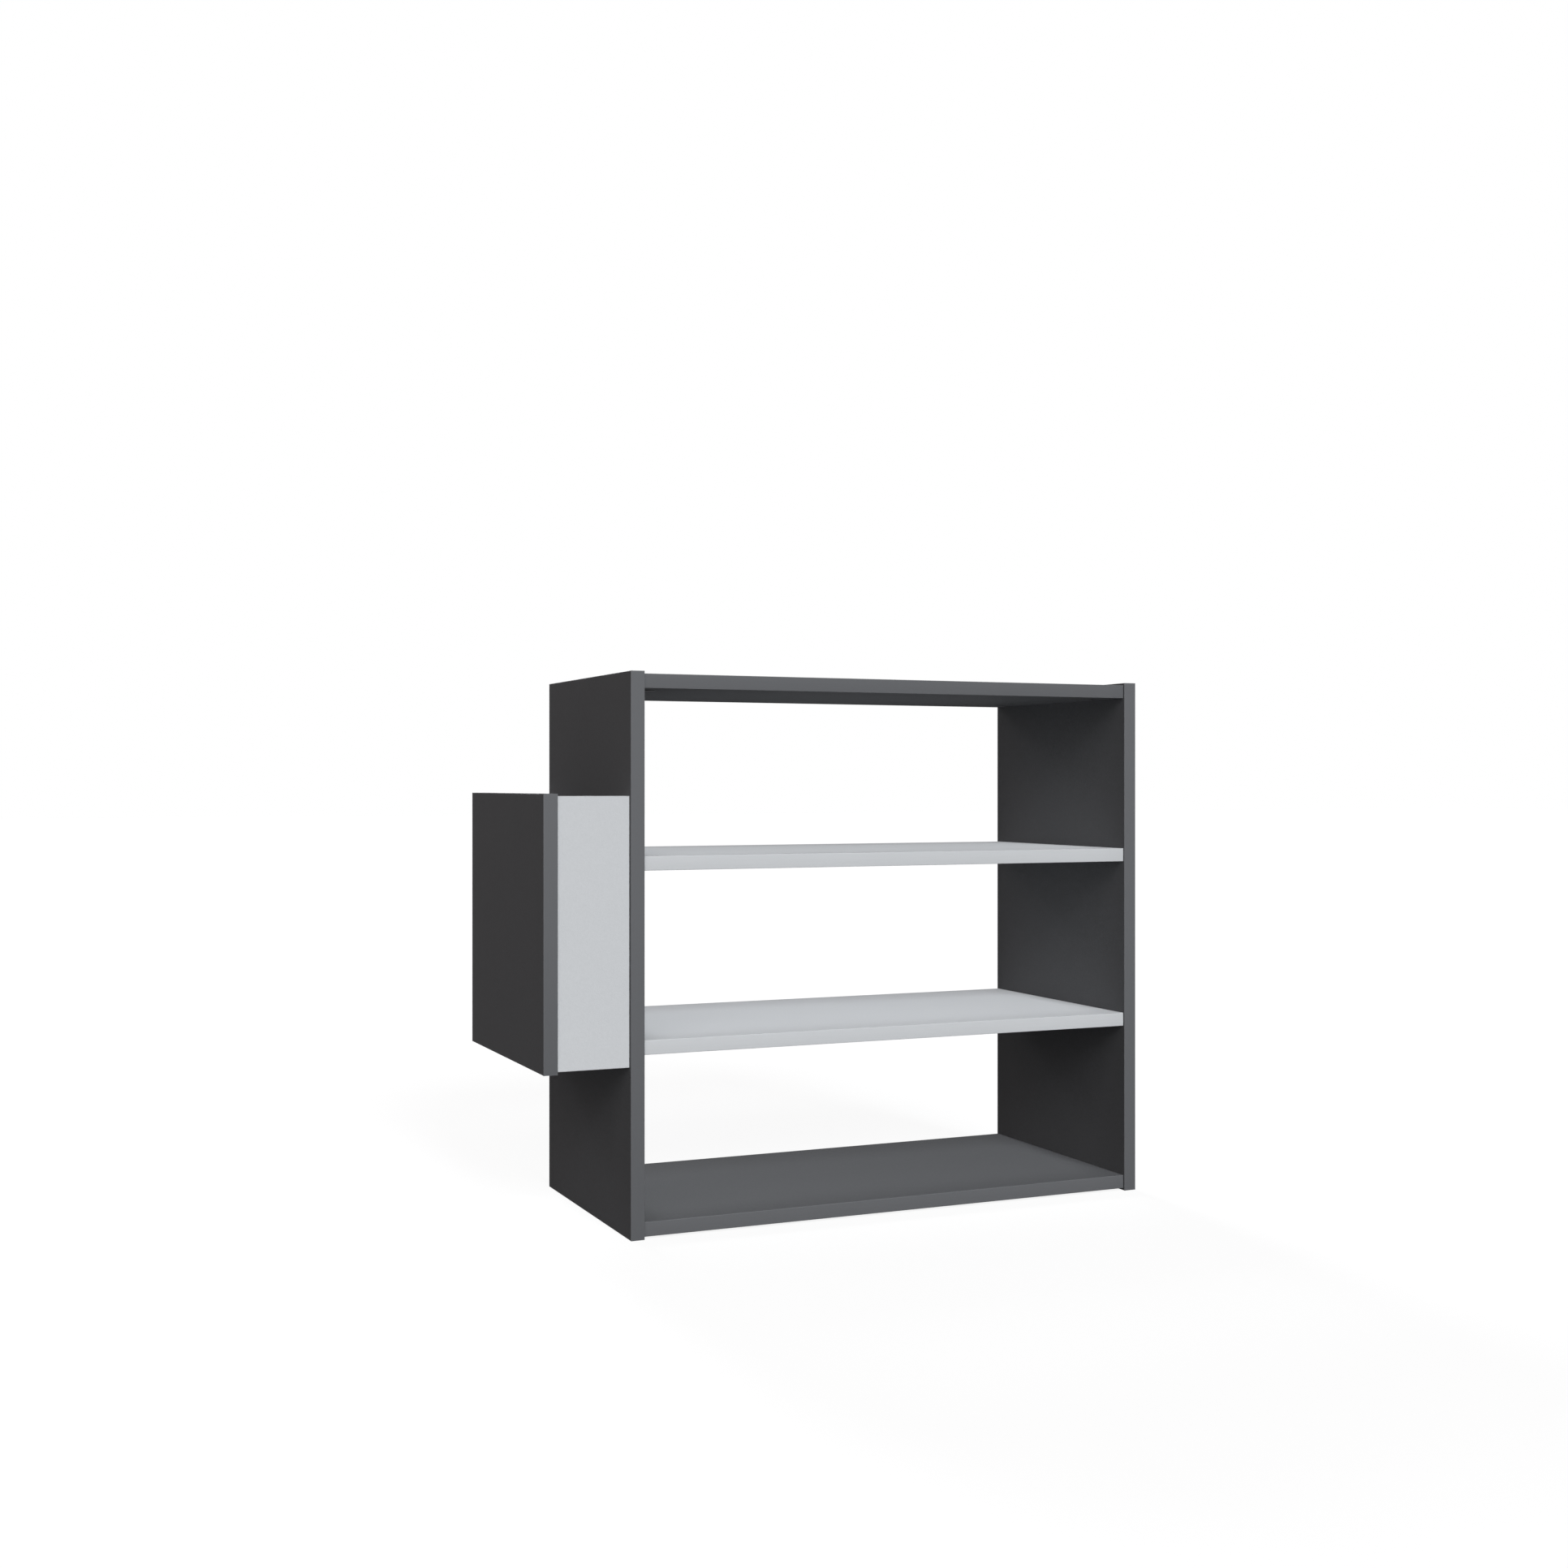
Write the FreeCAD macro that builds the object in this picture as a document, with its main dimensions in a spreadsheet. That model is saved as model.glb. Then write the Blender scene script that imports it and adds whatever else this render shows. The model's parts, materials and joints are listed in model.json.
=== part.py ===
# Open shoe rack with a narrow pocket hung on its left side.
# Faced boards with edge bands, joined by concealed cam fittings and wooden dowels.
# Millimetres: X runs along the width, the front faces -Y, Z is up and the floor is at Z = 0.
import FreeCAD, Part
import os
import Sketcher

Vector = FreeCAD.Vector
doc = FreeCAD.newDocument("shoe_rack")

# Driving sizes
driving_sizes = {
    # boards
    "board_thickness": 18,
    "carcass_height": 700,  # side boards, floor to top
    "shelf_length": 700,  # clear width between the side boards
    "shelf_depth": 340,  # shelves, top and bottom boards, front to back
    "side_overhang": 3,  # side boards stand this far past the boards between them
    "lower_shelf_height": 227,  # floor to its underside
    "upper_shelf_height": 454,
    # side pocket
    "pocket_width": 92,  # clear width inside
    "pocket_height": 209,  # floor to the lower edge of its outer board
    "pocket_outer_height": 340,
    "pocket_outer_depth": 340,
    "pocket_inset": 3,  # outer board stands this far past the front and back boards
    # edge bands
    "band_thickness": 1,
    "band_rounding": 0.7,
    # fits
    "fit_clearance": 0.2,  # on diameters
    "hole_end_gap": 1,  # left past the end of a dowel or a thread
    # cams and their bolts
    "cam_diameter": 15,
    "cam_back": 4.5,  # cam body past the middle of the board
    "cam_wall": 1.7,
    "cam_setback": 24,  # board end to the cam's axis
    "cam_edge_distance": 50,  # long edge of the board to the cam's axis
    "cam_end_gap": 0.5,
    "slot_sweep": 125,  # degrees, from the bolt's entry to past its locked place
    "drive_length": 7,
    "drive_width": 1.4,
    "drive_depth": 2.5,
    "bolt_thread_diameter": 5,
    "bolt_thread_length": 11,
    "bolt_tip_chamfer": 1,
    "bolt_shank_diameter": 7,
    "bolt_bore_diameter": 8,
    "bolt_neck_diameter": 4,
    "bolt_head_diameter": 6,
    "bolt_head_length": 2.8,
    "head_play": 0.4,  # between the bolt's head or shank and the cam's wall
    # cover caps
    "cap_lip": 0.9,  # the cap reaches this far past the rim of the cam's bore
    "cap_thickness": 1.2,
    "cap_rounding": 0.8,
    "cap_peg_diameter": 3.8,
    "cap_peg_length": 2,
    # dowels
    "dowel_diameter": 8,
    "dowel_length": 30,
    "dowel_side_depth": 11,  # the part of its length in the side board
    "dowel_chamfer": 1,
    "dowel_edge_distance": 100,  # long edge of the board to the dowel's axis
    "floor_dowel_distance": 60,  # end of the pocket's floor to the dowel's axis
}
sheet = doc.addObject("Spreadsheet::Sheet", "Sizes")
for row, (alias, value) in enumerate(driving_sizes.items(), start=1):
    sheet.set(f"A{row}", alias)
    sheet.set(f"B{row}", str(value))
    sheet.setAlias(f"B{row}", alias)
doc.recompute()

# Formulas that several pieces share
half_board = "(Sizes.board_thickness / 2)"
half_shelf = "(Sizes.shelf_length / 2)"
half_pocket = "(Sizes.pocket_width / 2)"
side_depth = "(Sizes.shelf_depth + 2 * Sizes.side_overhang)"
rack_width = "(3 * Sizes.board_thickness + Sizes.pocket_width + Sizes.shelf_length)"

# left faces of the three upright boards, and the middle of the spaces between them
pocket_outer_x = f"(-{rack_width} / 2)"
left_side_x = f"({pocket_outer_x} + Sizes.board_thickness + Sizes.pocket_width)"
right_side_x = f"({left_side_x} + Sizes.board_thickness + Sizes.shelf_length)"
shelf_x = f"({left_side_x} + Sizes.board_thickness + {half_shelf})"
pocket_x = f"({pocket_outer_x} + Sizes.board_thickness + {half_pocket})"

# undersides of the boards between the sides
shelf_levels = {
    "bottom_panel": "Sizes.side_overhang",
    "lower_shelf": "Sizes.lower_shelf_height",
    "upper_shelf": "Sizes.upper_shelf_height",
    "top_panel": "(Sizes.carcass_height - Sizes.side_overhang - Sizes.board_thickness)",
}

# pocket boards
pocket_low = "Sizes.pocket_height"
pocket_high = "(Sizes.pocket_height + Sizes.pocket_outer_height)"
pocket_panel_z = "(Sizes.pocket_height + Sizes.pocket_inset)"
pocket_panel_height = "(Sizes.pocket_outer_height - 2 * Sizes.pocket_inset)"
pocket_inner_y = "(Sizes.pocket_outer_depth / 2 - Sizes.pocket_inset - Sizes.board_thickness)"
pocket_panel_mid_y = f"({pocket_inner_y} + {half_board})"

# fittings and the bores that hold them
cam_height = f"({half_board} + Sizes.cam_back)"
cam_y = "(Sizes.shelf_depth / 2 - Sizes.cam_edge_distance)"
dowel_y = "(Sizes.shelf_depth / 2 - Sizes.dowel_edge_distance)"
floor_dowel_y = f"({pocket_inner_y} - Sizes.floor_dowel_distance)"
cam_heights = ["Sizes.cam_edge_distance", f"({pocket_panel_height} - Sizes.cam_edge_distance)"]
dowel_heights = ["Sizes.dowel_edge_distance", f"({pocket_panel_height} - Sizes.dowel_edge_distance)"]
cam_bore = "(Sizes.cam_diameter + Sizes.fit_clearance)"
cam_bore_depth = f"({cam_height} + Sizes.cam_end_gap)"
bolt_bore = "Sizes.bolt_bore_diameter"
dowel_bore = "(Sizes.dowel_diameter + Sizes.fit_clearance)"
dowel_end_depth = "(Sizes.dowel_length - Sizes.dowel_side_depth)"
dowel_end_hole = f"({dowel_end_depth} + Sizes.hole_end_gap)"
dowel_side_hole = "(Sizes.dowel_side_depth + Sizes.hole_end_gap)"
thread_bore = "(Sizes.bolt_thread_diameter + Sizes.fit_clearance)"
thread_hole = "(Sizes.bolt_thread_length + Sizes.hole_end_gap)"

no_turn = FreeCAD.Rotation()
half_turn = FreeCAD.Rotation(Vector(0, 0, 1), 180)
sub_parts = []


def both(formula):
    return [f"-{formula}", formula]


# places of the bolts and dowels on the end of a board, in that board's own frame
shelf_bolt_rows = [(y, half_board) for y in both(cam_y)]
shelf_dowel_rows = [(y, half_board) for y in both(dowel_y)]
panel_bolt_rows = [(f"-{half_board}", up) for up in cam_heights]
panel_dowel_rows = [(f"-{half_board}", up) for up in dowel_heights]
floor_dowel_rows = [(y, half_board) for y in both(floor_dowel_y)]


def turn_to(x_axis, y_axis, z_axis):
    return FreeCAD.Rotation(Vector(*x_axis), Vector(*y_axis), Vector(*z_axis), "ZXY")


def place(piece, base, turn=no_turn):
    piece.Placement = FreeCAD.Placement(Vector(), turn)
    for axis, formula in zip("xyz", base):
        piece.setExpression(f"Placement.Base.{axis}", formula)


# Sketches and features
def origin_plane(body, role):
    return next(plane for plane in body.Origin.OriginFeatures if plane.Role == role)


def sketch_on(body, name, role, offset="0"):
    sketch = body.newObject("Sketcher::SketchObject", name)
    sketch.AttachmentSupport = (origin_plane(body, role), [""])
    sketch.MapMode = "FlatFace"
    sketch.setExpression("AttachmentOffset.Base.z", offset)
    return sketch


def bind_point(sketch, geometry, point, spot, name):
    for kind, formula in zip(("DistanceX", "DistanceY"), spot):
        index = sketch.addConstraint(Sketcher.Constraint(kind, geometry, point, 1.0))
        sketch.renameConstraint(index, f"{name}_{kind[-1]}")
        sketch.setExpression(f"Constraints.{name}_{kind[-1]}", formula)


# closed loop of straight edges through corners given as pairs of formulas
def draw_outline(sketch, corners):
    count = len(corners)
    for index in range(count):
        start = Vector(index, index * index, 0)
        end = Vector(index + 1, (index + 1) ** 2, 0)
        sketch.addGeometry(Part.LineSegment(start, end), False)
    for index in range(count):
        start_point, end_point = 1, 2
        following = (index + 1) % count
        sketch.addConstraint(Sketcher.Constraint("Coincident", index, end_point, following, start_point))
    for index, corner in enumerate(corners):
        bind_point(sketch, index, 1, corner, f"corner{index}")


def draw_rectangle(sketch, left, right, low, high):
    draw_outline(sketch, [(left, low), (right, low), (right, high), (left, high)])


def draw_circles(sketch, diameter, centres):
    centre_point = 3
    for index, centre in enumerate(centres):
        sketch.addGeometry(Part.Circle(Vector(index, index, 0), Vector(0, 0, 1), 1.0), False)
        constraint = sketch.addConstraint(Sketcher.Constraint("Diameter", index, 2.0))
        sketch.renameConstraint(constraint, f"bore{index}")
        sketch.setExpression(f"Constraints.bore{index}", diameter)
        bind_point(sketch, index, centre_point, centre, f"centre{index}")


def pad(body, sketch, length):
    feature = body.newObject("PartDesign::Pad", f"{sketch.Name}_pad")
    feature.Profile = sketch
    feature.setExpression("Length", length)
    return feature


def pocket(body, sketch, depth, along_normal):
    feature = body.newObject("PartDesign::Pocket", f"{sketch.Name}_pocket")
    feature.Profile = sketch
    feature.Reversed = along_normal
    feature.setExpression("Length", depth)
    return feature


def revolve(body, sketch, axis, kind="PartDesign::Revolution", angle="360"):
    feature = body.newObject(kind, f"{sketch.Name}_turned")
    feature.Profile = sketch
    feature.ReferenceAxis = (sketch, [axis])
    feature.setExpression("Angle", angle)
    return feature


def round_edges(body, feature, is_rounded, radius):
    doc.recompute()
    edges = enumerate(feature.Shape.Edges, start=1)
    fillet = body.newObject("PartDesign::Fillet", f"{body.Name}_rounding")
    fillet.Base = (feature, [f"Edge{number}" for number, edge in edges if is_rounded(edge)])
    fillet.setExpression("Radius", radius)


def drill(body, name, role, offset, along_normal, diameter, depth, centres):
    sketch = sketch_on(body, name, role, offset)
    draw_circles(sketch, diameter, centres)
    return pocket(body, sketch, depth, along_normal)


# holes drilled at the left end of a board are repeated at its right end
def repeat_at_right_end(body, holes):
    mirrored = body.newObject("PartDesign::Mirrored", f"{body.Name}_right_end")
    mirrored.Originals = holes
    mirrored.MirrorPlane = (origin_plane(body, "YZ_Plane"), [""])
    body.Tip = mirrored


# cams go in from one face of the board, bolts and dowels from its ends
def drill_ends(body, cam_plane, half_length, cam_rows, bolt_rows, dowel_rows):
    name = body.Name
    end = f"-{half_length}"
    cams = [(f"-({half_length} - Sizes.cam_setback)", row) for row in cam_rows]
    repeat_at_right_end(body, [
        drill(body, f"{name}_cam_bores", cam_plane, "0", True, cam_bore, cam_bore_depth, cams),
        drill(body, f"{name}_bolt_bores", "YZ_Plane", end, True, bolt_bore, "Sizes.cam_setback", bolt_rows),
        drill(body, f"{name}_dowel_bores", "YZ_Plane", end, True, dowel_bore, dowel_end_hole, dowel_rows),
    ])


def new_board(label, base, turn=no_turn):
    body = doc.addObject("PartDesign::Body", label)
    body.Label = label
    place(body, base, turn)
    sub_parts.append(body)
    return body


# Upright boards: thickness along X from 0, Y about the middle, Z from the floor
def upright_board(label, left_x, depth, low, high):
    body = new_board(label, (left_x, "0", "0"))
    core = sketch_on(body, f"{label}_core", "YZ_Plane")
    half_core = f"({depth} / 2 - Sizes.band_thickness)"
    core_low = f"({low} + Sizes.band_thickness)"
    core_high = f"({high} - Sizes.band_thickness)"
    draw_rectangle(core, f"-{half_core}", half_core, core_low, core_high)
    pad(body, core, "Sizes.board_thickness")
    return body


def drill_upright(body, face, bolts, dowels):
    offset, along_normal = {"left": ("0", True), "right": ("Sizes.board_thickness", False)}[face]
    name = f"{body.Name}_{face}"
    drill(body, f"{name}_thread_bores", "YZ_Plane", offset, along_normal, thread_bore, thread_hole, bolts)
    drill(body, f"{name}_dowel_bores", "YZ_Plane", offset, along_normal, dowel_bore, dowel_side_hole, dowels)


shelf_mids = [f"({level} + {half_board})" for level in shelf_levels.values()]
shelf_bolts = [(y, mid) for mid in shelf_mids for y in both(cam_y)]
shelf_dowels = [(y, mid) for mid in shelf_mids for y in both(dowel_y)]
pocket_bolts = [(y, f"({pocket_panel_z} + {up})") for up in cam_heights for y in both(pocket_panel_mid_y)]
pocket_dowels = [(y, f"({pocket_panel_z} + {up})") for up in dowel_heights for y in both(pocket_panel_mid_y)]
pocket_dowels += [(y, f"({pocket_panel_z} + {half_board})") for y in both(floor_dowel_y)]

left_side = upright_board("left_side_panel", left_side_x, side_depth, "0", "Sizes.carcass_height")
drill_upright(left_side, "right", shelf_bolts, shelf_dowels)
drill_upright(left_side, "left", pocket_bolts, pocket_dowels)

right_side = upright_board("right_side_panel", right_side_x, side_depth, "0", "Sizes.carcass_height")
drill_upright(right_side, "left", shelf_bolts, shelf_dowels)

pocket_outer = upright_board(
    "pocket_outer_panel", pocket_outer_x, "Sizes.pocket_outer_depth", pocket_low, pocket_high
)
drill_upright(pocket_outer, "right", pocket_bolts, pocket_dowels)


# Boards between the sides: X and Y about the middle, underside at Z = 0, cams from below
def shelf_board(label, level):
    body = new_board(label, (shelf_x, "0", level))
    core = sketch_on(body, f"{label}_core", "XY_Plane")
    half_core = "(Sizes.shelf_depth / 2 - Sizes.band_thickness)"
    draw_rectangle(core, f"-{half_shelf}", half_shelf, f"-{half_core}", half_core)
    pad(body, core, "Sizes.board_thickness")
    drill_ends(body, "XY_Plane", half_shelf, both(cam_y), shelf_bolt_rows, shelf_dowel_rows)


for label, level in shelf_levels.items():
    shelf_board(label, level)


# Front and back of the pocket: X about the middle, inner face at Y = 0, lower edge at Z = 0
def pocket_panel(label, inner_y, turn):
    body = new_board(label, (pocket_x, inner_y, pocket_panel_z), turn)
    core = sketch_on(body, f"{label}_core", "XZ_Plane")
    core_high = f"({pocket_panel_height} - Sizes.band_thickness)"
    draw_rectangle(core, f"-{half_pocket}", half_pocket, "Sizes.band_thickness", core_high)
    pad(body, core, "Sizes.board_thickness")
    drill_ends(body, "XZ_Plane", half_pocket, cam_heights, panel_bolt_rows, panel_dowel_rows)


pocket_panel("pocket_front_panel", f"-{pocket_inner_y}", no_turn)
pocket_panel("pocket_back_panel", pocket_inner_y, half_turn)


# Floor of the pocket: held by dowels alone, between the front and the back
def pocket_floor():
    body = new_board("pocket_floor_panel", (pocket_x, "0", pocket_panel_z))
    core = sketch_on(body, "floor_core", "XY_Plane")
    draw_rectangle(core, f"-{half_pocket}", half_pocket, f"-{pocket_inner_y}", pocket_inner_y)
    pad(body, core, "Sizes.board_thickness")
    end = f"-{half_pocket}"
    repeat_at_right_end(body, [
        drill(body, "floor_dowel_bores", "YZ_Plane", end, True, dowel_bore, dowel_end_hole, floor_dowel_rows),
    ])


pocket_floor()


# Edge band: length along X, glued at Y = 0, outer face towards -Y, board thickness along Z
def edge_band(name, length):
    body = doc.addObject("PartDesign::Body", name)
    strip = sketch_on(body, f"{name}_strip", "XY_Plane")
    draw_rectangle(strip, f"-({length}) / 2", f"({length}) / 2", "-Sizes.band_thickness", "0")
    slab = pad(body, strip, "Sizes.board_thickness")

    def is_outer_long_edge(edge):
        box = edge.BoundBox
        return box.YMax < -sheet.band_thickness / 2 and box.XLength > box.ZLength

    round_edges(body, slab, is_outer_long_edge, "min(Sizes.band_rounding; 0.9 * Sizes.band_thickness)")
    return body


# Cam bolt: joint plane at X = 0, thread towards -X, head towards +X
def cam_bolt():
    body = doc.addObject("PartDesign::Body", "cam_bolt")
    profile = sketch_on(body, "bolt_profile", "XY_Plane")
    tip = "-Sizes.bolt_thread_length"
    thread_radius = "Sizes.bolt_thread_diameter / 2"
    shank_radius = "Sizes.bolt_shank_diameter / 2"
    neck_radius = "Sizes.bolt_neck_diameter / 2"
    head_radius = "Sizes.bolt_head_diameter / 2"
    shank_end = "(Sizes.cam_setback - Sizes.cam_diameter / 2 - Sizes.head_play)"
    head_start = "(Sizes.cam_setback - Sizes.cam_diameter / 2 + Sizes.cam_wall + Sizes.head_play)"
    cone_end = f"({head_start} + {head_radius} - {neck_radius})"
    head_end = f"({cone_end} + Sizes.bolt_head_length)"
    draw_outline(profile, [
        (tip, "0"),
        (tip, f"{thread_radius} - Sizes.bolt_tip_chamfer"),
        (f"{tip} + Sizes.bolt_tip_chamfer", thread_radius),
        ("0", thread_radius),
        ("0", shank_radius),
        (shank_end, shank_radius),
        (shank_end, neck_radius),
        (head_start, neck_radius),
        (cone_end, head_radius),
        (head_end, head_radius),
        (head_end, "0"),
    ])
    revolve(body, profile, "H_Axis")
    return body


# Cam: axis along Z, drive face at Z = 0, bolt enters from +Y and is locked when it points to -X
def cam():
    body = doc.addObject("PartDesign::Body", "cam")
    drum = sketch_on(body, "cam_drum", "XY_Plane")
    draw_circles(drum, "Sizes.cam_diameter", [("0", "0")])
    pad(body, drum, cam_height)

    chamber = sketch_on(body, "cam_chamber", "XZ_Plane")
    chamber_radius = "(Sizes.cam_diameter / 2 - Sizes.cam_wall)"
    half_head = "(Sizes.bolt_head_diameter / 2 + Sizes.head_play)"
    draw_rectangle(chamber, "0", chamber_radius, f"{half_board} - {half_head}", f"{half_board} + {half_head}")
    revolve(body, chamber, "V_Axis", "PartDesign::Groove")

    slot = sketch_on(body, "cam_slot", "YZ_Plane")
    half_neck = "(Sizes.bolt_neck_diameter / 2 + Sizes.head_play)"
    slot_outer = "(Sizes.cam_diameter / 2 + Sizes.head_play)"
    slot_low = f"{half_board} - {half_neck}"
    slot_high = f"{half_board} + {half_neck}"
    draw_rectangle(slot, f"{chamber_radius} / 2", slot_outer, slot_low, slot_high)
    revolve(body, slot, "V_Axis", "PartDesign::Groove", "Sizes.slot_sweep")

    entry = "(Sizes.bolt_head_diameter + Sizes.head_play)"
    drill(body, "cam_entry", "XZ_Plane", "0", False, entry, "Sizes.cam_diameter", [("0", half_board)])

    peg_hole = "(Sizes.cap_peg_diameter + Sizes.fit_clearance)"
    drill(body, "cam_peg_hole", "XY_Plane", "0", True, peg_hole, "Sizes.drive_depth", [("0", "0")])
    for name, along_x, along_y in (("drive_x", "length", "width"), ("drive_y", "width", "length")):
        drive = sketch_on(body, name, "XY_Plane")
        half_x = f"(Sizes.drive_{along_x} / 2)"
        half_y = f"(Sizes.drive_{along_y} / 2)"
        draw_rectangle(drive, f"-{half_x}", half_x, f"-{half_y}", half_y)
        pocket(body, drive, "Sizes.drive_depth", True)
    return body


# Cover cap: seat at Z = 0, shown face towards -Z, peg up into the cam
def cover_cap():
    body = doc.addObject("PartDesign::Body", "cover_cap")
    profile = sketch_on(body, "cap_profile", "XZ_Plane")
    cap_radius = f"({cam_bore} / 2 + Sizes.cap_lip)"
    peg_radius = "Sizes.cap_peg_diameter / 2"
    draw_outline(profile, [
        ("0", "-Sizes.cap_thickness"),
        (cap_radius, "-Sizes.cap_thickness"),
        (cap_radius, "0"),
        (peg_radius, "0"),
        (peg_radius, "Sizes.cap_peg_length"),
        ("0", "Sizes.cap_peg_length"),
    ])
    disc = revolve(body, profile, "V_Axis")

    def is_shown_rim(edge):
        return edge.BoundBox.ZMax < -sheet.cap_thickness / 2 and edge.BoundBox.XLength > sheet.cam_diameter

    round_edges(body, disc, is_shown_rim, "min(Sizes.cap_rounding; 0.9 * Sizes.cap_thickness)")
    return body


# Dowel: joint plane at X = 0, the shorter part in the side board towards -X
def dowel():
    body = doc.addObject("PartDesign::Body", "dowel")
    profile = sketch_on(body, "dowel_profile", "XY_Plane")
    radius = "Sizes.dowel_diameter / 2"
    side_end = "-Sizes.dowel_side_depth"
    draw_outline(profile, [
        (side_end, "0"),
        (side_end, f"{radius} - Sizes.dowel_chamfer"),
        (f"{side_end} + Sizes.dowel_chamfer", radius),
        (f"{dowel_end_depth} - Sizes.dowel_chamfer", radius),
        (dowel_end_depth, f"{radius} - Sizes.dowel_chamfer"),
        (dowel_end_depth, "0"),
    ])
    revolve(body, profile, "H_Axis")
    return body


bolt_master = cam_bolt()
cam_master = cam()
cap_master = cover_cap()
dowel_master = dowel()
side_core_depth = f"{side_depth} - 2 * Sizes.band_thickness"
pocket_core_depth = "Sizes.pocket_outer_depth - 2 * Sizes.band_thickness"
side_tall_band = edge_band("side_tall_band", "Sizes.carcass_height")
side_short_band = edge_band("side_short_band", side_core_depth)
pocket_tall_band = edge_band("pocket_tall_band", "Sizes.pocket_outer_height")
pocket_short_band = edge_band("pocket_short_band", pocket_core_depth)
shelf_band = edge_band("shelf_band", "Sizes.shelf_length")
panel_band = edge_band("panel_band", "Sizes.pocket_width")


# Copies of a fitting or band, each placed in the frame of the board it belongs to
def copies(name, master, spots):
    links = []
    for base, turn in spots:
        link = doc.addObject("App::Link", name)
        link.LinkedObject = master
        place(link, base, turn)
        links.append(link)
    return links


# the same spots at both ends of a board that lies along X
def end_spots(half_length, setback, rows, left_turn=no_turn, right_turn=half_turn):
    spots = []
    for sign, turn in (("-", left_turn), ("", right_turn)):
        for y, z in rows:
            spots.append(((f"{sign}({half_length} - {setback})", y, z), turn))
    return spots


def group(label, pieces, base, turn=no_turn):
    compound = doc.addObject("Part::Compound", label)
    compound.Label = label
    compound.Links = pieces
    place(compound, base, turn)
    sub_parts.append(compound)


# Bands round an upright board: tall ones in front and behind, short ones between them
def upright_band_set(name, tall, short, depth, low, high):
    half_core = f"({depth} / 2 - Sizes.band_thickness)"
    middle = f"(({low} + {high}) / 2)"
    front_turn = turn_to((0, 0, 1), (0, 1, 0), (-1, 0, 0))
    back_turn = turn_to((0, 0, 1), (0, -1, 0), (1, 0, 0))
    foot_turn = turn_to((0, 1, 0), (0, 0, 1), (1, 0, 0))
    head_turn = turn_to((0, -1, 0), (0, 0, -1), (1, 0, 0))
    return copies(f"{name}_tall_band", tall, [
        (("Sizes.board_thickness", f"-{half_core}", middle), front_turn),
        (("0", half_core, middle), back_turn),
    ]) + copies(f"{name}_short_band", short, [
        (("0", "0", f"{low} + Sizes.band_thickness"), foot_turn),
        (("0", "0", f"{high} - Sizes.band_thickness"), head_turn),
    ])


side_bands = upright_band_set(
    "side", side_tall_band, side_short_band, side_depth, "0", "Sizes.carcass_height"
)
group("left_side_edge_bands", side_bands, (left_side_x, "0", "0"))
group("right_side_edge_bands", side_bands, (right_side_x, "0", "0"))
outer_bands = upright_band_set(
    "pocket", pocket_tall_band, pocket_short_band, "Sizes.pocket_outer_depth", pocket_low, pocket_high
)
group("pocket_outer_edge_bands", outer_bands, (pocket_outer_x, "0", "0"))


# Fittings at both ends of a board, in that board's frame
def end_fittings(name, half_length, cam_spots, bolt_rows, dowel_rows):
    return {
        "cams": copies(f"{name}_cam", cam_master, cam_spots),
        "cam_bolts": copies(f"{name}_bolt", bolt_master, end_spots(half_length, "0", bolt_rows)),
        "dowels": copies(f"{name}_dowel", dowel_master, end_spots(half_length, "0", dowel_rows)),
        "cam_caps": copies(f"{name}_cap", cap_master, cam_spots),
    }


# a board between the sides
shelf_edge = "(Sizes.shelf_depth / 2 - Sizes.band_thickness)"
shelf_cam_spots = end_spots(half_shelf, "Sizes.cam_setback", [(y, "0") for y in both(cam_y)])
shelf_sets = end_fittings("shelf", half_shelf, shelf_cam_spots, shelf_bolt_rows, shelf_dowel_rows)
shelf_sets["edge_bands"] = copies("shelf_band_copy", shelf_band, [
    (("0", f"-{shelf_edge}", "0"), no_turn),
    (("0", shelf_edge, "0"), half_turn),
])
for board, level in shelf_levels.items():
    for kind, pieces in shelf_sets.items():
        group(f"{board}_{kind}", pieces, (shelf_x, "0", level))

# the pocket's front and back
lower_turn = turn_to((1, 0, 0), (0, 0, 1), (0, -1, 0))
upper_turn = turn_to((1, 0, 0), (0, 0, -1), (0, 1, 0))
right_cam_turn = turn_to((-1, 0, 0), (0, 0, -1), (0, -1, 0))
panel_cam_rows = [("0", up) for up in cam_heights]
panel_cam_spots = end_spots(half_pocket, "Sizes.cam_setback", panel_cam_rows, lower_turn, right_cam_turn)
panel_sets = end_fittings("panel", half_pocket, panel_cam_spots, panel_bolt_rows, panel_dowel_rows)
panel_sets["edge_bands"] = copies("panel_band_copy", panel_band, [
    (("0", "0", "Sizes.band_thickness"), lower_turn),
    (("0", "-Sizes.board_thickness", f"{pocket_panel_height} - Sizes.band_thickness"), upper_turn),
])
for kind, pieces in panel_sets.items():
    group(f"pocket_front_{kind}", pieces, (pocket_x, f"-{pocket_inner_y}", pocket_panel_z))
    group(f"pocket_back_{kind}", pieces, (pocket_x, pocket_inner_y, pocket_panel_z), half_turn)

# the pocket's floor
floor_dowels = copies("floor_dowel", dowel_master, end_spots(half_pocket, "0", floor_dowel_rows))
group("pocket_floor_dowels", floor_dowels, (pocket_x, "0", pocket_panel_z))

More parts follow.
